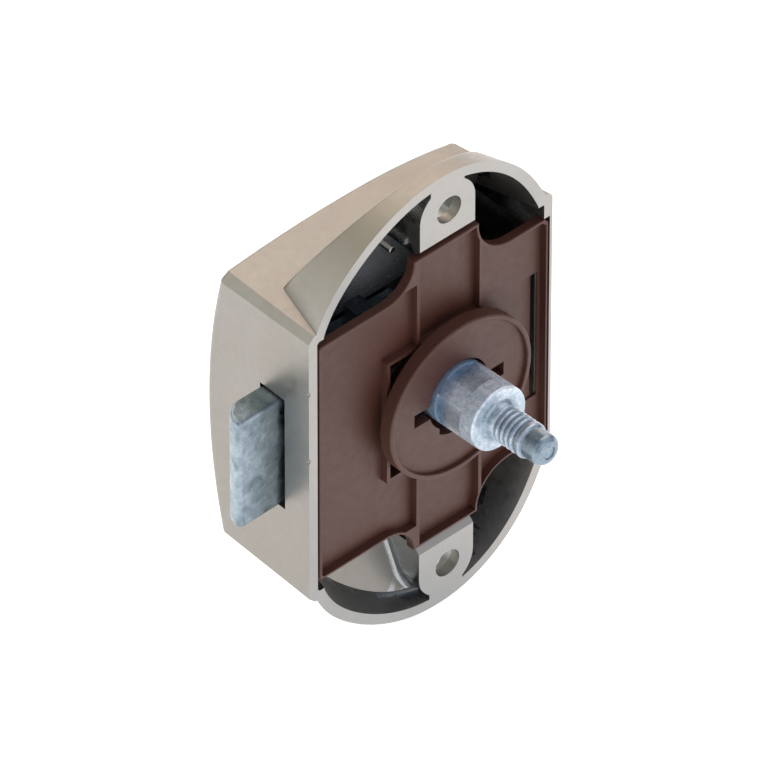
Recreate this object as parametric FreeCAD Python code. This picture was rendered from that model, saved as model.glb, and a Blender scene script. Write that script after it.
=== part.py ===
import FreeCAD, Part
import os
import math
from FreeCAD import Vector as V

# Push-button furniture lock, surface mounted, with a sprung latch bolt.
# Frame: origin on the spindle axis where it crosses the mounting face (y = 0).
# +Z up along the long side, -Y towards the door (the spindle points there),
# +Y into the case, -X towards the strike (the bolt projects there). Millimetres.

# ---------------------------------------------------------------- dimensions
CASE_XL, CASE_XR, CASE_Z = -25.0, 18.7, 24.0      # block part of the case at the mounting face
CASE_XL_B, CASE_XR_B = -24.92, 17.3               # the same at y = TAPER_Y (draft)
# crown of the long sides at y = TAPER_Y (x, z), from the left corner to the right one
CROWN = [(-23.6, 23.75), (-14.0, 25.2), (-4.0, 25.6), (3.0, 25.15), (9.0, 24.0), (13.0, 22.85), (15.9, 21.75)]
TAPER_Y = 22.0
WALL = 1.5
DOME_R, DOME_C = 97.9, -77.15                     # crowned back: cylinder along X
CORNER_R0, CORNER_R1 = 1.0, 1.35                  # corner bevel (left) and rounding (right), at the face and at the back
# outer outline of the upper wing at the mounting face (x, z); the lower one is its mirror
WING_PTS = [(-23.85, 23.4), (-21.45, 27.87), (-18.04, 31.55), (-13.72, 34.78), (-9.19, 37.05), (-5.25, 38.17),
            (-1.49, 38.5), (2.7, 38.02), (6.75, 36.55), (10.31, 34.22), (13.36, 31.08), (15.88, 27.22), (17.68, 23.4)]
WING_DRAFT = 0.255                                # inward lean of the wing's wall, mm per mm of depth
WING_Y24, WING_SLOPE = 9.95, 0.49                 # back plane of the wing: y = WING_Y24 - slope*(|z|-24)
RIM = 1.65
LUG_X, LUG_Z, LUG_R, LUG_IN, LUG_T = -0.27, 32.0, 4.93, 27.4, 1.6
HOLE_R = 2.15                                     # screw holes, 64 mm apart
HEAD_R = 4.5                                      # screw head pocket behind the lug
SLOT_Y0, SLOT_Y1, SLOT_Z = 4.85, 9.75, 9.85       # bolt slot in the left wall
BOLT_Y0, BOLT_Y1, BOLT_Z = 5.6, 9.6, 9.5
BOLT_TIP = -32.5
TRAVEL = 7.5                                      # spindle, carriage and latch travel
PIV_Y = 9.0                                       # spindle pivot
TILT = 3.55                                       # spindle play, degrees
PLATE_Y, PLATE_FLOOR, PLATE_FLANGE, PLATE_BACK = 0.15, 1.3, 1.55, 2.3
DISC_R, DISC_Y, DISC_FLOOR, DISC_RIM, DISC_BACK = 12.75, -2.62, -2.0, 0.75, -0.55
SP_R = 4.85                                       # spindle sleeve radius
PIN_Y0 = 14.5                                     # drive pins at rest
PIN_R = 1.2

os.makedirs("parts", exist_ok=True)
DOC = {}


def box(x0, x1, y0, y1, z0, z1):
    return Part.makeBox(x1 - x0, y1 - y0, z1 - z0, V(x0, y0, z0))


def cyl(r, p, d, h):
    return Part.makeCylinder(r, h, V(*p), V(*d))


def one(s):
    s = s.removeSplitter()
    return s


def mir(s):
    return s.mirror(V(0, 0, 0), V(0, 0, 1))


def prism_y(pts, y0, y1):
    """Polygon in XZ swept along Y."""
    w = Part.makePolygon([V(x, y0, z) for x, z in pts + [pts[0]]])
    return Part.Face(w).extrude(V(0, y1 - y0, 0))


def prism_x(pts, x0, x1):
    """Polygon in YZ swept along X."""
    w = Part.makePolygon([V(x0, y, z) for y, z in pts + [pts[0]]])
    return Part.Face(w).extrude(V(x1 - x0, 0, 0))


def prism_z(pts, z0, z1):
    """Polygon in XY swept along Z."""
    w = Part.makePolygon([V(x, y, z0) for x, y in pts + [pts[0]]])
    return Part.Face(w).extrude(V(0, 0, z1 - z0))


def fillet(s, r, test, tag):
    """Rounds the edges whose middle point passes the test; leaves the solid as it is if that fails."""
    es = []
    for e in s.Edges:
        try:
            a, b = e.ParameterRange
            m = e.valueAt((a + b) / 2)
        except Exception:
            continue
        if test(e, m):
            es.append(e)
    if not es:
        print("no edges for", tag)
        return s
    try:
        f = s.makeFillet(r, es)
        if f.isValid() and f.Volume > 0:
            return f
    except Exception as ex:
        print("fillet failed", tag, len(es), str(ex)[:60])
        return s
    print("fillet invalid", tag)
    return s


def save(name, s):
    s = s if isinstance(s, Part.Shape) else Part.makeCompound(s)
    ok = s.isValid()
    n = len(s.Solids)
    bb = s.BoundBox
    print("%-18s solids %d valid %s vol %8.1f  x %.2f..%.2f y %.2f..%.2f z %.2f..%.2f" % (
        name, n, ok, s.Volume, bb.XMin, bb.XMax, bb.YMin, bb.YMax, bb.ZMin, bb.ZMax))
    if n == 1 and s.ShapeType != "Solid":
        s = s.Solids[0]
    s.exportStep("parts/%s.step" % name)
    DOC[name] = s


# ---------------------------------------------------------------- case shell
def block_wire(y, xl, xr, r, crown=None, inset=0.0):
    """Eight-edge outline in the plane y: two long sides, two straight ends, bevels on the left, arcs on the right."""
    xl, xr = xl + inset, xr - inset
    r = max(r - inset * 0.45, 0.35)
    k = math.sqrt(0.5)
    if crown is None:
        pts = [(xl + r, CASE_Z - inset), (xr - r, CASE_Z - inset)]
    else:
        pts = [(x, z - inset) for x, z in crown]
        pts[0] = (xl + r, pts[0][1])
        pts[-1] = (xr - r, pts[-1][1])
    zl, zr = pts[0][1], pts[-1][1]

    def side(sg, p):
        if len(p) == 2:
            return Part.LineSegment(V(p[0][0], y, sg * p[0][1]), V(p[1][0], y, sg * p[1][1])).toShape()
        c = Part.BSplineCurve()
        c.interpolate([V(x, y, sg * z) for x, z in p])
        return c.toShape()
    e = [side(1, pts),
         Part.Arc(V(xr - r, y, zr), V(xr - r + r * k, y, zr - r + r * k), V(xr, y, zr - r)).toShape(),
         Part.LineSegment(V(xr, y, zr - r), V(xr, y, -zr + r)).toShape(),
         Part.Arc(V(xr, y, -zr + r), V(xr - r + r * k, y, -zr + r - r * k), V(xr - r, y, -zr)).toShape(),
         side(-1, pts[::-1]),
         Part.LineSegment(V(xl + r, y, -zl), V(xl, y, -zl + r)).toShape(),
         Part.LineSegment(V(xl, y, -zl + r), V(xl, y, zl - r)).toShape(),
         Part.LineSegment(V(xl, y, zl - r), V(xl + r, y, zl)).toShape()]
    return Part.Wire(e)


def block(inset, dome_inset, y0):
    w0 = block_wire(0.0, CASE_XL, CASE_XR, CORNER_R0, None, inset)
    w1 = block_wire(TAPER_Y, CASE_XL_B, CASE_XR_B, CORNER_R1, CROWN, inset)
    s = Part.makeLoft([w0, w1], True, True)
    if y0 < 0:
        f = Part.Face(w0)
        s = s.fuse(f.extrude(V(0, y0, 0)))
    dome = Part.makeCylinder(DOME_R - dome_inset, 80, V(-40, DOME_C, 0), V(1, 0, 0))
    s = s.common(dome)
    return s


def offset_pts(pts, d):
    """Moves each point of the wing outline inward, square to the outline."""
    out = []
    n = len(pts)
    for i, (x, z) in enumerate(pts):
        a = pts[max(i - 1, 0)]
        b = pts[min(i + 1, n - 1)]
        tx, tz = b[0] - a[0], b[1] - a[1]
        if i in (0, n - 1):
            # the ends run nearly along Z
            tx, tz = (0.42, 1.0) if i == 0 else (0.42, -1.0)
        L = math.hypot(tx, tz)
        out.append((x + d * tz / L, z - d * tx / L))
    return out


def wing_wire(y, d, z_low=17.0):
    p = offset_pts(WING_PTS, d)
    c = Part.BSplineCurve()
    c.interpolate([V(x, y, z) for x, z in p])
    a, b = p[0], p[-1]
    e = [c.toShape(),
         Part.LineSegment(V(b[0], y, b[1]), V(b[0] - 0.4, y, z_low)).toShape(),
         Part.LineSegment(V(b[0] - 0.4, y, z_low), V(a[0] + 0.4, y, z_low)).toShape(),
         Part.LineSegment(V(a[0] + 0.4, y, z_low), V(a[0], y, a[1])).toShape()]
    return Part.Wire(e)


def wing_solid(d, prism, y0=0.0, y1=13.0):
    s = Part.makeLoft([wing_wire(y0, d + WING_DRAFT * y0), wing_wire(y1, d + WING_DRAFT * y1)], True, True)
    return s.common(prism)


def wing_y(z):
    return WING_Y24 - WING_SLOPE * (z - 24.0)


outer = block(0.0, 0.0, 0.0)
outer = fillet(outer, 1.2, lambda e, m: m.y > 17.0 and e.Length > 1.0 and abs(math.hypot(m.y - DOME_C, m.z) - DOME_R) < 0.02, "back edge")
wp = prism_x([(-1, 16.5), (-1, 42), (wing_y(42), 42), (wing_y(16.5), 16.5)], -30, 25)
wing = wing_solid(0.0, wp)
wing = fillet(wing, 0.9, lambda e, m: abs(m.y - wing_y(m.z)) < 0.02 and m.z > 26 and e.Length > 20, "wing back edge")
shell = outer.fuse([wing, mir(wing)])

cav = block(WALL, WALL - 0.2, -1.0)
ci = wing_y(24.0) - 1.15                           # inner back plane of the wing
wc = prism_x([(-2, 17.5), (-2, 40), (ci - WING_SLOPE * (40 - 24), 40), (ci - WING_SLOPE * (17.5 - 24), 17.5)], -30, 25)
wingc = wing_solid(RIM, wc, -1.0, 12.0)
hollow = cav.fuse([wingc, mir(wingc)])

# lug outline, kept solid from the face to the wing's back, with the screw head pocket in it
lug = box(LUG_X - LUG_R, LUG_X + LUG_R, -0.0, 9.5, LUG_IN - 1.0, LUG_Z).fuse(cyl(LUG_R, (LUG_X, 0, LUG_Z), (0, 1, 0), 9.5))
# rounded foot where the lug meets the wing's back wall
lug = lug.common(prism_x([(-1, 16.5), (-1, 42), (wing_y(42), 42), (wing_y(16.5), 16.5)], -12, 12))
lug = lug.fuse(prism_x([(ci - WING_SLOPE * (20 - 24), 20), (ci - WING_SLOPE * (42 - 24), 42), (wing_y(42), 42), (wing_y(20), 20)], -12, 12))
lug = fillet(lug, 0.8, lambda e, m: abs(m.y - (ci - WING_SLOPE * (m.z - 24))) < 0.02 and abs(m.x) < 6 and 26.5 < m.z < 37.5, "lug foot")
lug = lug.fuse(box(LUG_X - 3.0, LUG_X + 3.0, 0, 9.5, LUG_Z + 3.5, 37.2))
lug = lug.common(wing)
# bevel towards the base plate
lug = lug.cut(prism_x([(-0.5, LUG_IN - 3.0), (1.0, LUG_IN - 3.0), (1.0, LUG_IN - 1.0), (0.0, LUG_IN), (-0.5, LUG_IN + 0.5)], -12, 12))
lug = lug.cut(box(-12, 12, -1, 12, 15, LUG_IN - 1.0))
shell = shell.cut(hollow)
shell = shell.fuse([lug, mir(lug)])
head = cyl(HEAD_R, (0, LUG_T, LUG_Z), (0, 1, 0), 14)
head = head.fuse(prism_y([(-HEAD_R, LUG_Z), (HEAD_R, LUG_Z), (HEAD_R, LUG_IN + 1.1), (-HEAD_R, LUG_IN + 1.1)], LUG_T, 14))
hole = cyl(HOLE_R, (0, -1, LUG_Z), (0, 1, 0), 5)
shell = shell.cut([head, mir(head), hole, mir(hole)])

# bolt slot, and the step in the right wall that the base plate laps over
shell = shell.cut(box(-26.5, -22.5, SLOT_Y0, SLOT_Y1, -SLOT_Z, SLOT_Z))
shell = shell.cut(box(16.0, 18.25, -1, PLATE_FLANGE + 0.05, -19.95, 19.95))
# small nicks on the outer left edge of the rim
for zn in (14.1, 2.0):
    shell = shell.cut(Part.makeSphere(0.45, V(CASE_XL - 0.12, -0.12, zn)))

# inner ribs and posts (one casting with the shell)
inner_full = block(WALL - 0.3, WALL - 0.4, 0.0)
adds = []
for sg in (1, -1):
    adds.append(box(-20.5, 14.0, 10.0, 21.0, *sorted((sg * 12.0, sg * 13.2))))          # carriage hold-down ribs
    adds.append(box(-24.5, -20.9, PLATE_BACK, 21.0, *sorted((sg * 16.8, sg * 18.6))))   # plate ledges, left
    adds.append(box(15.6, 17.4, PLATE_BACK, 21.0, *sorted((sg * 16.8, sg * 18.6))))     # plate ledges, right
adds.append(cyl(2.1, (0, 18.1, 0), (0, 1, 0), 2.0))                                     # spring locator
adds.append(cyl(1.1, (8.4, 17.4, 0), (0, 1, 0), 3.0).cut(cyl(0.4, (8.4, 16, 0), (0, 1, 0), 2.6)))
adds.append(box(9.15, 11.4, 15.6, 21.0, -2.1, 2.1))
adds = [a.common(inner_full) for a in adds]
shell = shell.fuse(adds)
PIN_W = cyl(0.52, (-6.45, 4.0, 26.0), (0, 1, 0), 4.4)                                    # steel pin seat
shell = shell.cut(PIN_W)
shell = one(shell)
save("housing", shell)
save("locating_pin", fillet(PIN_W, 0.15, lambda e, m: m.y < 4.1, "pin"))


# ---------------------------------------------------------------- base plate
def plate_wire(y, d):
    """Outline of the plate, moved inward by d."""
    xl, xr, zl, zr, zn = -23.0 + d, 18.2 - d, 21.0 - d, 19.55 - d, 26.05 - d
    rl, rr = 5.0 + d, 6.0 + d
    cl, cr = (-11.0, 26.0), (11.6, 25.55)
    pts = []

    def upper(sg):
        # from the left edge to the right edge along one long side
        xa = cl[0] + math.sqrt(max(rl * rl - (cl[1] - zn) ** 2, 0))
        xb = cr[0] - math.sqrt(max(rr * rr - (cr[1] - zn) ** 2, 0))
        ang_b = math.atan2(zn - cr[1], xb - cr[0])
        angb = ang_b if ang_b < 0 else ang_b - 2 * math.pi
        am = (angb + -math.pi / 2) / 2
        anga = math.atan2(zn - cl[1], xa - cl[0])
        aml = (anga + -math.pi / 2) / 2
        return [("L", (xl + 0.5, zl), (cl[0], zl)),
                ("A", (cl[0], zl), (cl[0] + rl * math.cos(aml), cl[1] + rl * math.sin(aml)), (xa, zn)),
                ("L", (xa, zn), (xb, zn)),
                ("A", (xb, zn), (cr[0] + rr * math.cos(am), cr[1] + rr * math.sin(am)), (cr[0], zr)),
                ("L", (cr[0], zr), (xr - 0.7, zr)),
                ("L", (xr - 0.7, zr), (xr, zr - 0.7))]
    es = []

    def mk(seg, sg):
        if seg[0] == "L":
            (a, b), (c, dd) = seg[1], seg[2]
            return Part.LineSegment(V(a, y, sg * b), V(c, y, sg * dd)).toShape()
        p = [V(q[0], y, sg * q[1]) for q in seg[1:]]
        return Part.Arc(*p).toShape()
    up = upper(1)
    for s in up:
        es.append(mk(s, 1))
    es.append(Part.LineSegment(V(xr, y, zr - 0.7), V(xr, y, -(zr - 0.7))).toShape())
    for s in reversed(up):
        es.append(mk(s, -1))
    k = 0.5 * (1 - math.sqrt(0.5))
    es.append(Part.Arc(V(xl + 0.5, y, -zl), V(xl + k, y, -zl + k), V(xl, y, -zl + 0.5)).toShape())
    es.append(Part.LineSegment(V(xl, y, -zl + 0.5), V(xl, y, zl - 0.5)).toShape())
    es.append(Part.Arc(V(xl, y, zl - 0.5), V(xl + k, y, zl - k), V(xl + 0.5, y, zl)).toShape())
    return Part.Wire(Part.__sortEdges__(es))


plate = Part.Face(plate_wire(PLATE_Y, 0.0)).extrude(V(0, PLATE_FLANGE - PLATE_Y, 0))
plate = fillet(plate, 0.2, lambda e, m: abs(m.y - PLATE_Y) < 0.01, "plate edge")
plate = plate.fuse(Part.Face(plate_wire(PLATE_FLANGE - 0.1, 1.3)).extrude(V(0, PLATE_BACK - PLATE_FLANGE + 0.1, 0)))
tray = Part.Face(plate_wire(PLATE_Y - 1, 0.42)).extrude(V(0, 1 + PLATE_FLOOR - PLATE_Y, 0))
keep = [box(-5.55, -5.0, -2, 3, -30, 30), box(5.7, 6.25, -2, 3, -30, 30),
        box(-10.9, 6.25, -2, 3, -10.8, 10.8)]
for sg in (1, -1):
    keep.append(box(-8.6, -5.0, -2, 3, *sorted((sg * 21.8, sg * 28))))   # solid corner beside the left rib
tray = tray.cut(keep)
plate = plate.cut(tray)
plate = plate.cut(box(-10.3, 5.1, -1, 5, -10.2, 10.2).fuse(cyl(9.2, (0, -1, 0), (0, 1, 0), 6)))
# long slot near the right edge with a sloped lead-in
plate = plate.cut(box(16.3, 17.28, -1, 5, -12.6, 9.65))
plate = plate.cut(prism_z([(14.1, PLATE_FLOOR - 0.02), (16.4, PLATE_FLOOR - 0.02), (16.4, PLATE_FLOOR + 0.36)], -12.6, 9.65))
plate = plate.cut(box(15.2, 17.6, PLATE_FLOOR + 0.42, 5, -13.2, 10.25))
# rails behind the plate that guide the carriage
rails = []
for sg in (1, -1):
    rails.append(box(-20.5, 15.0, PLATE_BACK - 0.01, 4.85, *sorted((sg * 13.3, sg * 14.5))))
plate = plate.fuse(rails)
plate = one(plate)
save("base_plate", plate)

# ---------------------------------------------------------------- guide disc
disc = cyl(DISC_R, (0, DISC_Y, 0), (0, 1, 0), DISC_BACK - DISC_Y)
disc = disc.fuse(cyl(9.0, (0, DISC_BACK - 0.01, 0), (0, 1, 0), PLATE_BACK + 0.01 - DISC_BACK))
disc = disc.fuse(cyl(9.6, (0, PLATE_BACK, 0), (0, 1, 0), 0.3))                            # snap collar behind the plate
disc = disc.cut(cyl(DISC_R - DISC_RIM, (0, DISC_Y - 1, 0), (0, 1, 0), DISC_FLOOR - DISC_Y + 1))
disc = disc.cut(cyl(6.3, (0, -0.6, 0), (0, 1, 0), 4))
disc = disc.cut(cyl(5.2, (0, -5, 0), (0, 1, 0), 8))
notch = cyl(6.05, (0, -5, 0), (0, 1, 0), 8).common(box(-3.4, 3.4, -5, 3, -7, 0))
disc = disc.cut(notch)
disc = disc.cut(cyl(5.2, (0, -5, 0.75), (0, 1, 0), 8))
disc = disc.cut(box(-7.95, 8.2, -5, 8, -1.15, 1.15))
disc = disc.cut(box(4.0, 7.3, 2.15, 5, -3.8, 3.8))                                     # relief for the heart cam when the plunger is out
disc = one(disc)
disc = fillet(disc, 0.3, lambda e, m: abs(m.y - DISC_Y) < 0.01 and math.hypot(m.x, m.z) > DISC_R - 0.1, "disc rim, outside")
disc = fillet(disc, 0.15, lambda e, m: abs(m.y - DISC_Y) < 0.01 and math.hypot(m.x, m.z) < DISC_R - DISC_RIM + 0.1, "disc rim, inside")
save("guide_disc", disc)

# ---------------------------------------------------------------- spindle
STUD_R, ROOT_R, TIP_R = 2.65, 2.32, 2.3
REC0, REC1 = -7.45, -2.65                         # ends of the four flats in the sleeve
pts = [(0, 10.8), (2.5, 10.8), (2.8, 10.5), (2.8, 6.8), (SP_R - 0.4, 6.8), (SP_R, 6.4), (SP_R, -9.75)]
pts += [(4.80, -9.95), (4.65, -10.1)]
# neck with a hollow fillet
pts += [(3.55, -10.12), (3.15, -10.22), (2.85, -10.5), (2.68, -10.9), (2.6, -11.35), (ROOT_R, -11.6)]
# four narrow ridges and a wide one
for i in range(4):
    y = -12.1 - 0.92 * i
    pts += [(ROOT_R, y + 0.42), (STUD_R - 0.07, y + 0.22), (STUD_R, y + 0.07), (STUD_R, y - 0.07), (STUD_R - 0.07, y - 0.22), (ROOT_R, y - 0.42)]
pts += [(ROOT_R, -15.45), (STUD_R - 0.05, -15.65), (STUD_R, -15.8), (STUD_R, -16.3), (STUD_R - 0.08, -16.5), (TIP_R, -16.8)]
# plain tip with a rounded end and a shallow dimple
pts += [(TIP_R, -18.95), (2.22, -19.25), (2.02, -19.55), (1.7, -19.82), (1.3, -19.97), (1.0, -20.0), (0.9, -19.8), (0, -19.8)]
w = Part.makePolygon([V(r, yy, 0) for r, yy in pts] + [V(0, 10.8, 0)])
spindle = Part.Face(w).revolve(V(0, 0, 0), V(0, 1, 0), 360)
spindle = Part.Solid(spindle) if spindle.ShapeType != "Solid" else spindle
for sg in (1, -1):
    spindle = spindle.cut(box(*sorted((sg * 4.15, sg * 7)), REC0, REC1, -2.6, 2.6))
    spindle = spindle.cut(box(-2.6, 2.6, REC0, REC1, *sorted((sg * 4.15, sg * 7))))
spindle = spindle.cut(cyl(0.86, (-6, PIV_Y, 0), (1, 0, 0), 12))
spindle = one(spindle)
spindle.rotate(V(0, PIV_Y, 0), V(1, 0, 0), -TILT)
save("spindle", spindle)

# ---------------------------------------------------------------- plunger (drive block and what it carries)
BLK_R, BLK0, BLK1 = 5.2, 7.6, 16.8
block_ = cyl(BLK_R, (0, BLK0, 0), (0, 1, 0), BLK1 - BLK0)
block_ = block_.cut(box(5.0, 7, 0, 30, -8, 8))
block_ = block_.cut(cyl(3.3, (0, BLK0 - 1, 0), (0, 1, 0), 11.3 - BLK0 + 1))
block_ = block_.cut(cyl(3.4, (0, 11.9, 0), (0, 1, 0), 8))
block_ = block_.cut(cyl(0.8, (-6, PIV_Y, 0), (1, 0, 0), 12))
for sg in (1, -1):
    block_ = block_.cut(cyl(PIN_R, (0, PIN_Y0, sg * 3.9), (0, 0, sg), 3))
save("drive_block", one(block_))
dp = [cyl(PIN_R, (0, PIN_Y0, sg * 3.9), (0, 0, sg), 3.8) for sg in (1, -1)]
dp = [fillet(p, 0.25, lambda e, m: abs(m.z) > 7.6, "drive pin") for p in dp]
save("drive_pins", dp)
pp = cyl(0.8, (-4.85, PIV_Y, 0), (1, 0, 0), 9.7)
save("pivot_pin", pp)

# heart cam: a plate with a track round a heart-shaped island, open at the back where the wire's tip is when the plunger is out
cam = box(5.0, 6.9, 9.9, 18.6, -3.4, 3.4)
track = box(6.0, 8, 10.4, 19.0, -2.6, 2.6)
heart = prism_x([(12.1, 0.0), (11.7, 1.0), (12.6, 1.55), (15.6, 0.35), (15.6, -0.35), (12.6, -1.55), (11.7, -1.0)], 5.5, 6.9)
track = track.cut(heart)
cam = cam.cut(track)
save("heart_cam", one(cam))


def helix_spring(r, wire, length, turns, axis, start):
    """Round-wire compression spring along +Y or +X with its end turns closed and ground to length."""
    closed = 1.0
    pitch_c = wire * 1.08
    free = length - 2 * closed * pitch_c - wire
    pitch = free / (turns - 2 * closed)
    n = 24
    pts = []
    N = int(turns * n)
    for i in range(N + 1):
        t = i / n
        if t < closed:
            h = pitch_c * t
        elif t > turns - closed:
            h = pitch_c * closed + pitch * (turns - 2 * closed) + pitch_c * (t - (turns - closed))
        else:
            h = pitch_c * closed + pitch * (t - closed)
        pts.append(V(r * math.cos(2 * math.pi * t), r * math.sin(2 * math.pi * t), h + wire / 2))
    c = Part.BSplineCurve()
    c.interpolate(pts)
    e = c.toShape()
    d0 = c.tangent(c.FirstParameter)[0]
    prof = Part.Wire([Part.Circle(pts[0], d0, wire / 2).toShape()])
    s = Part.Wire([e]).makePipeShell([prof], True, True)
    s = s if s.ShapeType == "Solid" else Part.Solid(Part.Shell(s.Faces))
    if axis == "y":
        s.rotate(V(0, 0, 0), V(1, 0, 0), -90)
    else:
        s.rotate(V(0, 0, 0), V(0, 1, 0), 90)
    s.translate(V(*start))
    return s


save("spindle_spring", helix_spring(2.65, 0.6, 7.2, 6.5, "y", (0, 12.05, 0)))

# catch wire: its tip rides in the heart track, its leg is held in the back of the case
WIRE = 0.4
tip = (6.15, 11.25)
r = 0.9
k = math.sqrt(0.5)
p0, p1 = V(tip[0], tip[1], 0), V(8.4 - r, tip[1], 0)
p2, p3 = V(8.4, tip[1] + r, 0), V(8.4, 18.6, 0)
path = Part.Wire([Part.LineSegment(p0, p1).toShape(),
                  Part.Arc(p1, V(8.4 - r + r * k, tip[1] + r - r * k, 0), p2).toShape(),
                  Part.LineSegment(p2, p3).toShape()])
prof = Part.Wire([Part.Circle(p0, V(1, 0, 0), WIRE).toShape()])
cw = path.makePipeShell([prof], True, True)
save("catch_wire", cw)
save("catch_leaf", box(8.86, 9.15, 10.7, 17.2, -1.4, 1.4))

# ---------------------------------------------------------------- bolt carriage
FL0, FL1 = 3.0, 5.2
car = box(-21.5, 8.0, FL0, FL1, -12.9, 12.9)
car = car.cut(box(-13.1, 5.4, 0, 8, -6.0, 6.0))
for sg in (1, -1):
    ck = box(-12.7, 3.4, FL1 - 0.01, 17.4, *sorted((sg * 6.0, sg * 7.9)))
    ck = ck.cut(prism_z([(-12.8, 17.5), (-12.8, 11.6), (-6.6, 17.5)], -20, 20))
    ck = ck.cut(prism_z([(3.5, 17.5), (1.9, 17.5), (3.5, 15.9)], -20, 20))
    # inclined slot for the drive pin
    a, b = (0.0, PIN_Y0), (-TRAVEL, PIN_Y0 - TRAVEL)
    h = PIN_R + 0.3
    q = h * math.sqrt(0.5)
    sl = prism_z([(a[0] + q, a[1] - q), (a[0] - q, a[1] + q), (b[0] - q, b[1] + q), (b[0] + q, b[1] - q)], -20, 20)
    sl = sl.fuse([cyl(h, (a[0], a[1], -20), (0, 0, 1), 40), cyl(h, (b[0], b[1], -20), (0, 0, 1), 40)])
    ck = ck.cut(sl)
    car = car.fuse(ck)
    car = car.fuse(box(-17.6, -2.0, FL1 - 0.01, 9.6, *sorted((sg * 11.4, sg * 12.9))))
    car = car.fuse(box(-17.6, -16.3, FL1 - 0.01, 9.6, *sorted((sg * 9.9, sg * 11.5))))
    car = car.fuse(box(-10.4, -7.4, FL1, 9.6, *sorted((sg * 12.8, sg * 15.0))))
    car = car.cut(cyl(0.7, (-14, 7.6, sg * 6.95), (1, 0, 0), 3.2))
car = one(car)
save("bolt_carriage", car)
gp = [cyl(0.7, (-19.5, 7.6, sg * 6.95), (1, 0, 0), 8.7) for sg in (1, -1)]
gp = [fillet(g, 0.2, lambda e, m: m.x < -19.4, "guide pin") for g in gp]
save("spring_guide_pins", gp)
sp = [helix_spring(1.05, 0.32, 14.6, 16.5, "x", (-27.4, 7.6, sg * 6.95)) for sg in (1, -1)]
save("bolt_springs", sp)

# ---------------------------------------------------------------- latch bolt
# section in XY: flat towards the door, round-nosed bevel away from it
b0, b1 = BOLT_Y0, BOLT_Y1
nose = Part.Wire([
    Part.LineSegment(V(-20.5, b0, 0), V(BOLT_TIP + 0.7, b0, 0)).toShape(),
    Part.Arc(V(BOLT_TIP + 0.7, b0, 0), V(BOLT_TIP + 0.205, b0 + 0.205, 0), V(BOLT_TIP, b0 + 0.7, 0)).toShape(),
    Part.LineSegment(V(BOLT_TIP, b0 + 0.7, 0), V(BOLT_TIP + 0.1, b0 + 1.2, 0)).toShape(),
    Part.Arc(V(BOLT_TIP + 0.1, b0 + 1.2, 0), V(BOLT_TIP + 1.35, b1 - 0.75, 0), V(BOLT_TIP + 3.7, b1, 0)).toShape(),
    Part.LineSegment(V(BOLT_TIP + 3.7, b1, 0), V(-20.5, b1, 0)).toShape(),
    Part.LineSegment(V(-20.5, b1, 0), V(-20.5, b0, 0)).toShape()])
bolt = Part.Face(nose).extrude(V(0, 0, 2 * BOLT_Z))
bolt.translate(V(0, 0, -BOLT_Z))
bolt = fillet(bolt, 0.55, lambda e, m: abs(abs(m.z) - BOLT_Z) < 0.01 and m.x < -20.6, "bolt edges")
for sg in (1, -1):
    bolt = bolt.fuse(box(-21.0, -14.0, b0, b1, *sorted((sg * 8.2, sg * BOLT_Z))))
    bolt = bolt.fuse(box(-16.0, -14.0, b0, b1, *sorted((sg * (BOLT_Z - 0.1), sg * 11.0))))
    bolt = bolt.cut(cyl(1.4, (-27.5, 7.6, sg * 6.95), (1, 0, 0), 8))
bolt = one(bolt)
save("latch_bolt", bolt)
print("nodes", len(DOC))
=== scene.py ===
import bpy, bmesh, math
from mathutils import Vector, Matrix
from mathutils.bvhtree import BVHTree


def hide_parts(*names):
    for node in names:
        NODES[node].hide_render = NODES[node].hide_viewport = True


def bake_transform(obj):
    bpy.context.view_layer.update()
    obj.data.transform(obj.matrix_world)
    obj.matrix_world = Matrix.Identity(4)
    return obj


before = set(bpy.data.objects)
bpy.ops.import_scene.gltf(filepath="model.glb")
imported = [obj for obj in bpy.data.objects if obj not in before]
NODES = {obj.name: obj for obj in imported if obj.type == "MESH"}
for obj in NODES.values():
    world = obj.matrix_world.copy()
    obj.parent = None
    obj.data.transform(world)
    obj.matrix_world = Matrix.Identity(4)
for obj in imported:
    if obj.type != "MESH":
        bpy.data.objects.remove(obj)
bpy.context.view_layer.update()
MM = 0.001

# ------------------------------------------------------------------ camera
AZ, EL, ROLL = math.radians(-42.26), math.radians(42.52), math.radians(0.05)
S, D, TX, TY, CX, CY = 7.49, 2000.0, 448.3, 388.1, 383.0, 383.0
right = Vector((math.cos(AZ), math.sin(AZ), 0))
back = Vector((math.sin(AZ) * math.cos(EL), -math.cos(AZ) * math.cos(EL), math.sin(EL)))
up = back.cross(right)
r2 = right * math.cos(ROLL) + up * math.sin(ROLL)
u2 = up * math.cos(ROLL) - right * math.sin(ROLL)
ox, oy = (TX - CX) / S, -(TY - CY) / S
cam = bpy.data.cameras.new("camera")
cam.sensor_fit = "HORIZONTAL"
cam.sensor_width = 36.0
cam.lens = S * D / 766.0 * 36.0
cam.clip_start, cam.clip_end = 0.05, 20.0
cam_ob = bpy.data.objects.new("camera", cam)
bpy.context.scene.collection.objects.link(cam_ob)
loc = (back * D - r2 * ox - u2 * oy) * MM
m = Matrix((r2, u2, back)).transposed().to_4x4()
m.translation = loc
cam_ob.matrix_world = m
bpy.context.scene.camera = cam_ob


# ------------------------------------------------------------------ materials
def new_mat(name):
    mt = bpy.data.materials.new(name)
    mt.use_nodes = True
    nt = mt.node_tree
    nt.nodes.clear()
    out = nt.nodes.new("ShaderNodeOutputMaterial")
    b = nt.nodes.new("ShaderNodeBsdfPrincipled")
    nt.links.new(b.outputs[0], out.inputs[0])
    return mt, nt, b


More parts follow.
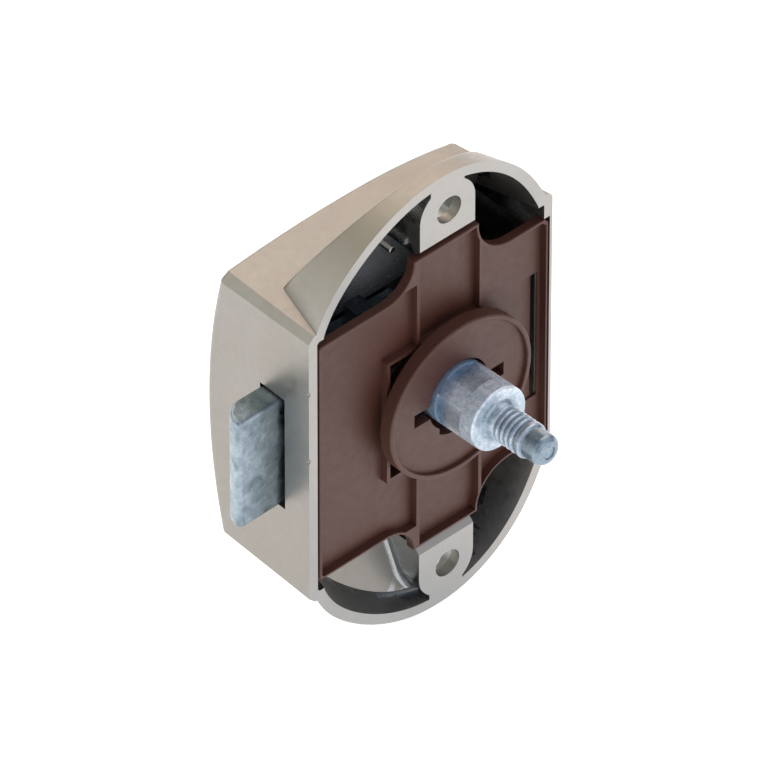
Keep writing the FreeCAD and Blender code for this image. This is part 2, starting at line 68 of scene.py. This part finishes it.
def N(nt, kind, **kw):
    n = nt.nodes.new(kind)
    for k, v in kw.items():
        if k.startswith("in_"):
            key = k[3:]
            key = int(key) if key.isdigit() else key.replace("_", " ")
            n.inputs[key].default_value = v
        else:
            setattr(n, k, v)
    return n


def obj_coords(nt):
    return N(nt, "ShaderNodeTexCoord").outputs["Object"]


def noise(nt, co, scale, detail=4.0, rough=0.55, dist=0.0):
    n = N(nt, "ShaderNodeTexNoise", in_Scale=scale, in_Detail=detail, in_Roughness=rough, in_Distortion=dist)
    nt.links.new(co, n.inputs["Vector"])
    return n.outputs["Fac"]


def ramp(nt, fac, stops):
    r = N(nt, "ShaderNodeValToRGB")
    e = r.color_ramp.elements
    e[0].position, e[0].color = stops[0][0], (*stops[0][1], 1)
    e[1].position, e[1].color = stops[-1][0], (*stops[-1][1], 1)
    for p, c in stops[1:-1]:
        k = e.new(p)
        k.color = (*c, 1)
    nt.links.new(fac, r.inputs[0])
    return r.outputs[0]


def maprange(nt, fac, a, b, c, d):
    r = N(nt, "ShaderNodeMapRange", in_1=a, in_2=b, in_3=c, in_4=d)
    nt.links.new(fac, r.inputs[0])
    return r.outputs[0]


def bump(nt, bs, height, dist, strength=1.0):
    b = N(nt, "ShaderNodeBump", in_Strength=strength, in_Distance=dist)
    nt.links.new(height, b.inputs["Height"])
    nt.links.new(b.outputs[0], bs.inputs["Normal"])
    return b


def srgb(h):
    v = [int(h[i:i + 2], 16) / 255 for i in (0, 2, 4)]
    return tuple(c / 12.92 if c <= 0.04045 else ((c + 0.055) / 1.055) ** 2.4 for c in v)


def mat_nickel(name="satin_nickel", lo=(0.294, 0.283, 0.256), hi=(0.330, 0.324, 0.299), r0=0.34, r1=0.44):
    mt, nt, b = new_mat(name)
    co = obj_coords(nt)
    n1 = noise(nt, co, 60.0, 3.0)
    col = ramp(nt, n1, [(0.3, lo), (0.7, hi)])
    nt.links.new(col, b.inputs["Base Color"])
    b.inputs["Metallic"].default_value = 1.0
    n2 = noise(nt, co, 900.0, 3.0, 0.6)
    nt.links.new(maprange(nt, n2, 0.3, 0.7, r0, r1), b.inputs["Roughness"])
    n3 = noise(nt, co, 2600.0, 2.0, 0.6)
    bump(nt, b, n3, 0.00002, 0.5)
    return mt


def mat_brown():
    mt, nt, b = new_mat("brown_plastic")
    co = obj_coords(nt)
    n1 = noise(nt, co, 45.0, 3.0)
    col = ramp(nt, n1, [(0.3, srgb("4A2A1F")), (0.7, srgb("513025"))])
    nt.links.new(col, b.inputs["Base Color"])
    n2 = noise(nt, co, 700.0, 3.0, 0.6)
    nt.links.new(maprange(nt, n2, 0.3, 0.7, 0.42, 0.55), b.inputs["Roughness"])
    b.inputs["Specular IOR Level"].default_value = 0.5
    n3 = noise(nt, co, 2200.0, 3.0, 0.6)
    bump(nt, b, n3, 0.00003, 0.5)
    return mt


def mat_zinc(name="raw_zinc", lo=(0.173, 0.232, 0.275), mid=(0.28, 0.356, 0.409), hi=(0.392, 0.483, 0.544), r0=0.25, r1=0.5, metal=1.0,
             grain=420.0, shade=None):
    mt, nt, b = new_mat(name)
    co = obj_coords(nt)
    n1 = noise(nt, co, grain, 6.0, 0.65, 0.6)
    col = ramp(nt, n1, [(0.32, lo), (0.5, mid), (0.68, hi)])
    if shade:                                             # painted shade, darker and bluer towards the case: from y0 to y1
        y0, y1, shade_tint = shade
        sx = N(nt, "ShaderNodeSeparateXYZ")
        nt.links.new(co, sx.inputs[0])
        k = ramp(nt, maprange(nt, sx.outputs["Y"], y0, y1, 0.0, 1.0), [(0.0, (1, 1, 1)), (0.32, shade_tint), (0.5, shade_tint), (0.8, (0.8, 0.84, 0.88)), (1.0, (0.85, 0.88, 0.9))])
        # the round sleeve is duller and lighter than the turned end
        sl = maprange(nt, sx.outputs["Y"], -0.0101, -0.0098, 0.0, 1.0)
        nt.links.new(maprange(nt, sl, 0.0, 1.0, metal, 0.42), b.inputs["Metallic"])
        ends = ramp(nt, sl, [(0.0, (0.66, 0.68, 0.70)), (1.0, (1, 1, 1))])
        # painted shade in the roots between the ridges, by radius from the spindle's axis, which leans 3.55 degrees
        zc = N(nt, "ShaderNodeMath", operation="MULTIPLY_ADD", in_1=0.06204)
        nt.links.new(sx.outputs["Y"], zc.inputs[0])
        zo = N(nt, "ShaderNodeMath", operation="ADD", in_1=-0.06204 * 0.009)
        nt.links.new(sx.outputs["Z"], zo.inputs[0])
        nt.links.new(zo.outputs[0], zc.inputs[2])
        xy = N(nt, "ShaderNodeCombineXYZ")
        nt.links.new(sx.outputs["X"], xy.inputs[0])
        nt.links.new(zc.outputs[0], xy.inputs[1])
        ln = N(nt, "ShaderNodeVectorMath", operation="LENGTH")
        nt.links.new(xy.outputs[0], ln.inputs[0])
        g = ramp(nt, maprange(nt, ln.outputs["Value"], 0.0022, 0.0037, 0.0, 1.0),
                 [(0.0, (0.55, 0.60, 0.62)), (0.12, (0.55, 0.60, 0.62)), (0.27, (1, 1, 1)), (0.36, (0.62, 0.68, 0.70)), (0.75, (0.8, 0.84, 0.85)), (1.0, (1, 1, 1))])
        # painted shade: the flats in the sleeve are a little darker than the round between them
        fl = N(nt, "ShaderNodeMath", operation="MAXIMUM")
        nt.links.new(maprange(nt, ln.outputs["Value"], 0.0042, 0.0047, 0.0, 1.0), fl.inputs[0])
        nt.links.new(maprange(nt, sx.outputs["Y"], -0.0078, -0.0080, 0.0, 1.0), fl.inputs[1])
        fg = ramp(nt, fl.outputs[0], [(0.0, (0.60, 0.60, 0.60)), (0.8, (0.8, 0.8, 0.8)), (1.0, (1, 1, 1))])
        for q in (k, g, fg, ends):
            mul = N(nt, "ShaderNodeVectorMath", operation="MULTIPLY")
            nt.links.new(col, mul.inputs[0])
            nt.links.new(q, mul.inputs[1])
            col = mul.outputs[0]
    nt.links.new(col, b.inputs["Base Color"])
    b.inputs["Metallic"].default_value = metal
    n2 = noise(nt, co, 800.0, 4.0, 0.6)
    nt.links.new(maprange(nt, n2, 0.3, 0.7, r0, r1), b.inputs["Roughness"])
    n3 = noise(nt, co, 1100.0, 5.0, 0.65)
    bump(nt, b, n3, 0.00005 if shade else 0.00012, 0.6)
    return mt


def mat_steel():
    mt, nt, b = new_mat("bright_steel")
    co = obj_coords(nt)
    n1 = noise(nt, co, 500.0, 3.0)
    col = ramp(nt, n1, [(0.3, srgb("B8B8B4")), (0.7, srgb("CFCFCB"))])
    nt.links.new(col, b.inputs["Base Color"])
    b.inputs["Metallic"].default_value = 1.0
    nt.links.new(maprange(nt, n1, 0.3, 0.7, 0.22, 0.34), b.inputs["Roughness"])
    return mt


def mat_black():
    mt, nt, b = new_mat("black_plastic")
    co = obj_coords(nt)
    n1 = noise(nt, co, 300.0, 3.0)
    col = ramp(nt, n1, [(0.3, srgb("232323")), (0.7, srgb("2C2C2B"))])
    nt.links.new(col, b.inputs["Base Color"])
    nt.links.new(maprange(nt, n1, 0.3, 0.7, 0.45, 0.6), b.inputs["Roughness"])
    return mt


M = {"nickel": mat_nickel(), "nickel_in": mat_nickel("case_inside", (0.302, 0.311, 0.323), (0.42, 0.44, 0.45), 0.20, 0.28), "nickel_face_painted_highlight": mat_nickel("case_face_painted_highlight", (0.37, 0.37, 0.355), (0.41, 0.41, 0.39), 0.32, 0.42), "brown": mat_brown(), "zinc": mat_zinc(),
     # the spindle's bright zinc carries painted shade near the case, in the thread roots and in the flats
     "zinc_bright": mat_zinc("bright_zinc", (0.46, 0.58, 0.69), (0.68, 0.80, 0.90), (0.92, 0.97, 1.0), 0.24, 0.38, 0.75,
                             1500.0, (-0.0050, 0.001, (0.46, 0.56, 0.67))), "steel": mat_steel(), "black": mat_black()}
USE = {"housing": "nickel", "base_plate": "brown", "guide_disc": "brown", "locating_pin": "steel", "catch_wire": "steel",
       "catch_leaf": "steel", "spindle": "zinc_bright", "drive_block": "zinc", "drive_pins": "steel", "pivot_pin": "steel",
       "heart_cam": "black", "spindle_spring": "steel", "bolt_carriage": "zinc", "spring_guide_pins": "steel",
       "bolt_springs": "steel", "latch_bolt": "zinc"}
for n, o in NODES.items():
    o.data.materials.clear()
    o.data.materials.append(M[USE[n]])

# the inside of the casting is a little smoother and bluer than the finished outside:
# a face is inside when the case itself closes it in on most sides
hs = NODES["housing"]
hs.data.materials.append(M["nickel_in"])
hs.data.materials.append(M["nickel_face_painted_highlight"])                # the face that sits on the door, lighter nickel as a painted highlight
tree = BVHTree.FromObject(hs, bpy.context.evaluated_depsgraph_get())
RAYS = [Vector((math.cos(2.399963 * i) * math.sqrt(1 - z * z), math.sin(2.399963 * i) * math.sqrt(1 - z * z), z))
        for i, z in [(i, 1 - 2 * (i + 0.5) / 48) for i in range(48)]]
for f in hs.data.polygons:
    c, nn = f.center, f.normal
    hits = tot = 0
    for d in RAYS:
        if d.dot(nn) > 0.15:
            tot += 1
            if tree.ray_cast(c + nn * 0.00005, d, 0.03)[0] is not None:
                hits += 1
    pocket = c.y > 0.00165 and math.hypot(c.x, abs(c.z) - 0.032) < 0.0047
    if pocket or (c.y > 0.0012 and hits > 0.5 * tot):
        f.material_index = 1
    elif c.y < 0.0001 and nn.y < -0.95:
        # faces looking straight out of the door side take the lighter nickel: painted highlight
        f.material_index = 2


# ------------------------------------------------------------------ springs, as coils
def coil(r, wire, length, turns, axis, start):
    """Points and faces of a round-wire spring with closed ends, along +Y or +X from start, in mm."""
    pc, n, ring = wire * 1.08, 24, 10
    pitch = (length - 2 * pc - wire) / (turns - 2)
    rot = Matrix.Rotation(math.radians(-90), 3, "X") if axis == "y" else Matrix.Rotation(math.radians(90), 3, "Y")
    path = []
    for i in range(int(turns * n) + 1):
        t = i / n
        h = pc * t if t < 1 else (pc + pitch * (t - 1) if t <= turns - 1 else pc + pitch * (turns - 2) + pc * (t - turns + 1))
        path.append(Vector((r * math.cos(2 * math.pi * t), r * math.sin(2 * math.pi * t), h + wire / 2)))
    vs, fs = [], []
    for i, p in enumerate(path):
        tg = (path[min(i + 1, len(path) - 1)] - path[max(i - 1, 0)]).normalized()
        out = Vector((p.x, p.y, 0)).normalized()
        side = tg.cross(out).normalized()
        out = side.cross(tg)
        for k in range(ring):
            a = 2 * math.pi * k / ring
            vs.append(rot @ (p + (out * math.cos(a) + side * math.sin(a)) * wire / 2) + Vector(start))
    for i in range(len(path) - 1):
        for k in range(ring):
            a, b2 = i * ring + k, i * ring + (k + 1) % ring
            fs.append((a, b2, b2 + ring, a + ring))
    fs.append(tuple(range(ring))[::-1])
    e = (len(path) - 1) * ring
    fs.append(tuple(range(e, e + ring)))
    return vs, fs


def spring(name, node, coils):
    vs, fs = [], []
    for c in coils:
        v, f = coil(*c)
        fs += [tuple(i + len(vs) for i in q) for q in f]
        vs += v
    me = bpy.data.meshes.new(name)
    me.from_pydata([tuple(v * MM) for v in vs], [], fs)
    bm = bmesh.new()
    bm.from_mesh(me)
    bmesh.ops.recalc_face_normals(bm, faces=bm.faces)
    bm.to_mesh(me)
    bm.free()
    for q in me.polygons:
        q.use_smooth = len(q.vertices) == 4
    me.materials.append(M["steel"])
    o = bpy.data.objects.new(name, me)
    bpy.context.scene.collection.objects.link(o)
    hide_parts(node)
    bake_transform(o)
    return o


spring("spindle_spring_coil", "spindle_spring", [(2.65, 0.6, 7.2, 6.5, "y", (0, 12.05, 0))])
spring("bolt_spring_coils", "bolt_springs", [(1.05, 0.32, 14.6, 16.5, "x", (-27.4, 7.6, sg * 6.95)) for sg in (1, -1)])


# ------------------------------------------------------------------ stage, light
def area(name, pos, target, w, h, power, col=(1, 1, 1)):
    l = bpy.data.lights.new(name, "AREA")
    l.shape, l.size, l.size_y, l.energy, l.color = "RECTANGLE", w, h, power, col
    o = bpy.data.objects.new(name, l)
    bpy.context.scene.collection.objects.link(o)
    o.location = pos
    o.rotation_euler = (Vector(target) - Vector(pos)).to_track_quat("-Z", "Y").to_euler()
    return o


me = bpy.data.meshes.new("floor")
s, zf = 3.0, -0.0385
me.from_pydata([(-s, -s, zf), (s, -s, zf), (s, s, zf), (-s, s, zf)], [], [(0, 1, 2, 3)])
floor = bpy.data.objects.new("floor", me)
bpy.context.scene.collection.objects.link(floor)
mt, nt, b = new_mat("floor_white")
b.inputs["Base Color"].default_value = (0.9, 0.9, 0.9, 1)
b.inputs["Roughness"].default_value = 0.9
b.inputs["Emission Color"].default_value = (1, 1, 1, 1)
b.inputs["Emission Strength"].default_value = 0.6
FLOOR_GLOW = b
me.materials.append(mt)

# soft boxes of the studio, as soft-edged bright patches of the surrounding dome: direction, cos of inner and outer edge, colour
LOBES = [
    ("up", (0.0, 0.0, 1.0), 0.93, 0.62, (0.19, 0.22, 0.23)),
    ("right_back_up", (0.5, 0.55, 0.67), 0.93, 0.62, (1.75, 1.48, 1.33)),
    ("left_back_up", (-0.55, 0.5, 0.67), 0.93, 0.62, (0.11, 0.11, 0.07)),
    ("left_back_low", (-0.8, 0.55, 0.15), 0.93, 0.62, (1.07, 1.06, 1.04)),
    ("left_front_low", (-0.7, -0.7, 0.1), 0.93, 0.62, (0.27, 0.34, 0.34)),
    ("right_front_up", (0.5, -0.55, 0.67), 0.93, 0.62, (0.60, 0.62, 0.73)),
    ("camera_side", (-0.495, -0.548, 0.674), 0.93, 0.62, (0.28, 0.25, 0.36)),
    ("front_low", (0.0, -1.0, 0.15), 0.93, 0.62, (0.56, 0.50, 0.42)),
    ("right_front_low", (0.7, -0.7, 0.1), 0.93, 0.62, (0.04, 0.05, 0.05)),
    ("back_low", (0.0, 1.0, 0.3), 0.93, 0.62, (0.23, 0.19, 0.11)),
]
AMBIENT = (0.0, 0.0, 0.0)

w = bpy.data.worlds.new("world")
bpy.context.scene.world = w
w.use_nodes = True
wt = w.node_tree
bg = wt.nodes["Background"]
bg.inputs[1].default_value = 1.0
wco = wt.nodes.new("ShaderNodeTexCoord").outputs["Generated"]
LOBE_NODES = {}
last = N(wt, "ShaderNodeCombineXYZ", in_X=AMBIENT[0], in_Y=AMBIENT[1], in_Z=AMBIENT[2])
LOBE_NODES["ambient"] = last
last = last.outputs[0]
for name, d, c_in, c_out, col in LOBES:
    dn = Vector(d).normalized()
    dot = N(wt, "ShaderNodeVectorMath", operation="DOT_PRODUCT")
    wt.links.new(wco, dot.inputs[0])
    dot.inputs[1].default_value = dn
    mr = N(wt, "ShaderNodeMapRange", interpolation_type="SMOOTHSTEP", in_1=c_out, in_2=c_in, in_3=0.0, in_4=1.0)
    wt.links.new(dot.outputs["Value"], mr.inputs[0])
    sc = N(wt, "ShaderNodeVectorMath", operation="MULTIPLY")
    wt.links.new(mr.outputs[0], sc.inputs[0])
    sc.inputs[1].default_value = col
    LOBE_NODES[name] = sc
    ad = N(wt, "ShaderNodeVectorMath", operation="ADD")
    wt.links.new(last, ad.inputs[0])
    wt.links.new(sc.outputs[0], ad.inputs[1])
    last = ad.outputs[0]
wt.links.new(last, bg.inputs[0])
bpy.context.scene.view_settings.view_transform = "Standard"
